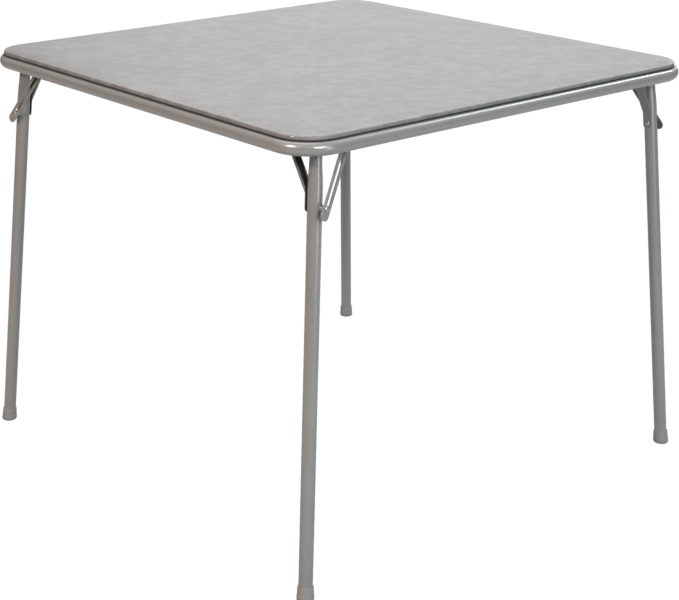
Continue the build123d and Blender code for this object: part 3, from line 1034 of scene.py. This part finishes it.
@dataclass
class FoldingLeg(Assembly):
    """One leg with its bracket, pivots, side strut, lock link and foot cap.

    Attributes:
        radius: The leg's radius.
        wall: The leg's wall.
        neck: The radius of the swaged neck.
        neck_top: The neck's reach above the hinge.
        neck_length: Its reach below the hinge.
        taper: The length of the swage.
        foot_gap: The rise of the cap's floor, where the tube ends.
        outer_ear: The outer ear's inner face, out from the leg.
        inner_ear: The inner ear's inner face, in from the leg.
        strut_ear: The strut's ear, in from the leg.
        sheet: The bracket's thickness.
        link_face: The link's inner and outer face, out from the leg.
        stud_place: How far down the leg and beside its middle the stud stands.
        rivet_drop: How far down the leg the strut's rivet stands.
    """

    radius: float = 0.011
    wall: float = 0.0012
    neck: float = 0.0092
    neck_top: float = 0.010
    neck_length: float = 0.014
    taper: float = 0.046
    foot_gap: float = 0.005
    outer_ear: float = 0.0134
    inner_ear: float = 0.0112
    strut_ear: float = 0.0411
    sheet: float = 0.002
    link_face: Pair = (0.0113, 0.0131)
    stud_place: Pair = (0.0868, 0.002)
    rivet_drop: float = 0.084

    def __post_init__(self) -> None:
        """Work out the front left corner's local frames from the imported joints."""
        hinge_joint = named(self.frame["joints"], "leg_fold_front_left")
        pivot = named(self.frame["joints"], "link_fold_front_left")["pos_m"]
        foot = named(self.frame["record"]["mounts"], "foot_front_left")["pos_m"]
        hinge, out = Vector(hinge_joint["pos_m"]), Vector(hinge_joint["axis"])
        self.length = (Vector(foot) - hinge).length
        down = (Vector(foot) - hinge).normalized()
        self.leg_frame = frame_at(hinge, -down, RIGHT)
        self.foot_frame = frame_at(Vector(foot), -down, RIGHT)
        hinge_frame = frame_at(hinge, out, RIGHT)
        local = hinge_frame.to_3x3().inverted() @ down
        beside = Vector((-local.y, local.x, 0.0)).normalized() * self.stud_place[1]
        stud = Vector((local.x, local.y, 0.0)) * self.stud_place[0] + beside
        self.pin_frames = (
            hinge_frame,
            frame_at(Vector(pivot), out, RIGHT),
            frame_at(hinge + down * self.rivet_drop, -out - down * down.dot(-out), RIGHT),
            frame_at(hinge_frame @ stud, out, RIGHT),
        )

    def turned(self, mesh: Mesh, place: Matrix) -> Mesh:
        """Carry a mesh to its place at the front left corner, and on to this one."""
        return moved(mesh, self.corner.turn @ place)

    def build_tube(self) -> None:
        """Turn the leg's tube, swaged to its neck."""
        end = self.foot_gap - self.length
        shoulder = -self.neck_length
        foot = shoulder - self.taper
        top, chamfer = self.neck_top, 0.0004
        neck, radius = self.neck, self.radius
        throat, bore = neck - self.wall, radius - self.wall
        shares = [(0.04, 0.12), (0.2, 0.32), (0.5, 0.5), (0.8, 0.68), (0.96, 0.88)]
        swage = [(neck + (radius - neck) * x, shoulder - self.taper * z) for x, z in shares]
        outside = [(neck - chamfer, top), (neck, top - chamfer), (neck, top - chamfer - LIP)]
        outside += [(neck, shoulder), *swage, (radius, foot), (radius, foot - 8 * LIP)]
        outside += [(radius, end + LIP), (radius, end)]
        inside = [(bore, end), (bore, foot), (throat, shoulder), (throat, top)]
        mesh = self.turned(spun(outside + inside, 48), self.leg_frame)
        self.add("swaged_leg", mesh, LEG_ENAMEL, "leg_tube", Body.LEG)

    def build_cap(self) -> None:
        """Turn the rubber cap and cut it flat where it stands."""
        rim, foot, bore = 0.0124, 0.0135, 0.01105
        low, floor, top = -0.006, self.foot_gap, 0.0240
        outside = [(0.0, low), (foot, low), (foot, 0.0082), (foot - 0.0001, 0.0094)]
        outside += [(foot - 0.00045, 0.0098), (foot - 0.00055, 0.0108), (rim + 0.0002, 0.0222)]
        outside += [(rim, top - 0.0008), (rim - 0.0003, top - 0.0002), (rim - 0.0007, top)]
        inside = [(bore, top), (bore, floor), (0.0, floor)]
        mesh = moved(spun(outside + inside, 48), self.foot_frame)
        edges = cut(mesh, Vector(), UP, clear_inner=True)
        sole = bmesh.ops.holes_fill(mesh, edges=edges, sides=0)["faces"]
        ease(mesh, [edge for face in sole for edge in face.edges], 0.0034, 6)
        bmesh.ops.recalc_face_normals(mesh, faces=mesh.faces[:])
        moved(mesh, self.corner.turn)
        self.add("rubber_cap", mesh, CAP_RUBBER, "foot_cap", Body.LEG, 50.0)

    def build_rivets(self) -> None:
        """Turn the hinge pin, the pivots, the strut's rivet, the stud and its head."""
        hinge, pivot, low, stud = self.pin_frames
        far, near = self.outer_ear + self.sheet, -self.inner_ear - self.sheet
        face, cover = self.link_face
        under = face - 0.00006
        back, seat = -self.strut_ear - self.sheet, 0.0019 - self.strut_ear
        inner, outer = self.radius - 2 * self.wall, self.radius + 0.00175
        pin, small, slim = (0.003, 0.005), (0.0025, 0.0042), (0.0026, 0.0044)
        rise, plain = 0.0015, 0.0045
        frame, leg, link = Body.FRAME, Body.LEG, Body.LINK
        rivets = (
            ("domed_pin", (near, far, *pin, rise, rise), hinge, "hinge_pin", frame),
            ("link_rivet", (under, far, *pin, 0.0013, rise), pivot, "link_pivot_rivet", frame),
            ("strut_pin", (back, seat, *small, rise, rise), hinge, "strut_pivot_rivet", frame),
            ("leg_rivet", (inner, outer, *small, 0.0, rise), low, "strut_rivet", leg),
            ("lock_stud", (0.0005, face - 0.0003, plain, plain, 0.0, 0.0), stud, "leg_stud", leg),
            ("stud_head", (face, cover, *slim, 0.0, 0.0018), stud, "slot_rivet", link),
        )
        for name, sizes, place, node, body in rivets:
            self.add(name, self.turned(rivet(*sizes), place), ZINC, node, body)

    def build(self) -> None:
        """Make every piece of the corner."""
        self.build_tube()
        self.build_cap()
        self.build_rivets()
        sheets = (
            ("corner_bracket", SHEET_ENAMEL, "hinge_bracket", Body.FRAME, 0.0004),
            ("channel_strut", STRUT_ENAMEL, "side_strut", Body.LEG, 0.0004),
            ("slotted_link", LINK_ENAMEL, "lock_link", Body.LINK, 0.0005),
        )
        for sheet in sheets:
            self.press(*sheet)


# Studio


@dataclass
class Studio:
    """The pale floor, the soft lamps and the camera.

    Attributes:
        eye: The camera's place.
        yaw: The camera's heading from +X, in degrees.
        pitch: How far it looks down, in degrees.
        lens: Its focal length for a 36 mm sensor.
        shift: The frame's shift, in frame widths.
        aim: The height that the lamps look at.
        dusk: The room's light at the horizon.
        sky: The room's light overhead.
        gleam: How much of the white background gloss shows.
        white: That background's strength.
    """

    eye: Point = (-1.7538, -2.0009, 1.23565)
    yaw: float = 50.364
    pitch: float = 20.223
    lens: float = 82.63
    shift: Pair = (0.0727, 0.0026)
    aim: float = 0.6
    dusk: float = 0.03
    sky: float = 0.5
    gleam: float = 0.06
    white: float = 1.04

    def camera(self) -> None:
        """Set up the camera where the photograph was taken from."""
        data = bpy.data.cameras.new("camera")
        data.lens = self.lens
        data.sensor_width = 36.0
        data.shift_x, data.shift_y = self.shift
        made = linked("camera", data)
        yaw, pitch = math.radians(self.yaw), math.radians(self.pitch)
        level = math.cos(pitch)
        ahead = Vector((level * math.cos(yaw), level * math.sin(yaw), -math.sin(pitch)))
        made.location, made.rotation_mode = self.eye, "QUATERNION"
        made.rotation_quaternion = ahead.to_track_quat("-Z", "Y")
        bpy.context.scene.camera = made

    def lamps(self) -> None:
        """Hang the soft lamps, which all look at the table's top."""
        warm, cool, hazy = (1.0, 0.66, 0.44), (0.87, 0.96, 1.0), (0.93, 0.965, 1.0)
        # Name, place, width and height, watts, colour, and the direction of the width
        lamps = (
            ("right_strip", (2.25, -0.8, 2.4), (1.3, 0.35), 17.0, cool, (1.0, 0.2, -0.3)),
            ("front_softbox", (-0.75, -2.8, 1.8), (1.15, 0.6), 38.0, cool, RIGHT),
            ("low_fill", (0.12, -2.65, 0.6), (0.5, 0.9), 6.0, cool, RIGHT),
            ("left_softbox", (-2.6, -0.45, 2.1), (0.56, 0.42), 29.0, warm, BACK),
            ("left_bulb", (-2.55, -0.44, 2.06), (0.28, 0.22), 11.0, WHITE, BACK),
            ("overhead", (0.3, 0.6, 3.0), (2.4, 2.4), 52.0, WHITE, RIGHT),
            ("back_wall", (2.9, 2.2, 2.0), (4.2, 2.2), 54.5, hazy, (1.0, -0.83, 0.0)),
        )
        for name, place, size, power, colour, along in lamps:
            data = bpy.data.lights.new(name, "AREA")
            data.shape = "RECTANGLE"
            data.size, data.size_y = size
            data.energy, data.color = power, colour
            away = Vector(place) - UP * self.aim
            linked(name, data).matrix_world = frame_at(Vector(place), away, Vector(along))

    def seen(self, net: Net, share: float) -> Value:
        """Say how much of the white background a ray meets.

        Args:
            net: The network of the floor or the room.
            share: How much of it the camera meets.

        Returns:
            That share for the camera, and the gleam for mirrored and bent rays.
        """
        rays = ("Is Camera Ray", "Is Glossy Ray", "Is Transmission Ray")
        camera, glossy, bent = (net.read("LightPath", ray) for ray in rays)
        return camera * share + net.maths("MAXIMUM", glossy, bent) * self.gleam

    def room(self) -> None:
        """Light the room softly, darker towards the horizon, and show it white."""
        world = bpy.data.worlds.new("room")
        bpy.context.scene.world = world
        net = Net(world)
        rise = net.parts(net.node("TexCoord").outputs["Generated"])[2]
        light = net.maths("MAXIMUM", rise, 0.0) * (self.sky - self.dusk) + self.dusk
        lit = net.node("Background", {"Color": (0.95, 0.96, 1.0), "Strength": light})
        white = net.node("Background", {"Color": WHITE, "Strength": self.white})
        shown = net.node("MixShader", {0: self.seen(net, 1.0), 1: lit, 2: white})
        net.node("OutputWorld", {"Surface": shown})

    def floor(self) -> None:
        """Lay the pale floor, which is see-through from below."""
        mesh = bmesh.new()
        bmesh.ops.create_grid(mesh, x_segments=1, y_segments=1, size=30.0)
        made = linked("floor", mesh)
        pale = bpy.data.materials.new("pale_floor")
        net = Net(pale)
        matt = net.node("BsdfDiffuse", {"Color": (0.42, 0.42, 0.42)})
        glow = net.node("Emission", {"Color": WHITE, "Strength": self.white})
        lit = net.node("MixShader", {0: self.seen(net, 0.975), 1: matt, 2: glow})
        below = net.read("NewGeometry", "Backfacing")
        clear = net.node("BsdfTransparent")
        net.node("OutputMaterial", {"Surface": net.node("MixShader", {0: below, 1: lit, 2: clear})})
        made.data.materials.append(pale)

    def build(self) -> None:
        """Set the whole studio up."""
        self.camera()
        self.room()
        self.floor()
        self.lamps()
        bpy.context.scene.view_settings.view_transform = "Standard"


def main() -> None:
    """Build the table and its studio in order."""
    logging.basicConfig(level=logging.INFO, format="%(name)s: %(message)s")
    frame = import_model()
    Studio().build()
    TubeFrame(frame).build()
    PaddedTop(frame).build()
    for corner in Corner:
        FoldingLeg(frame, corner).build()
    bpy.context.view_layer.update()


if __name__ == "__main__":
    main()
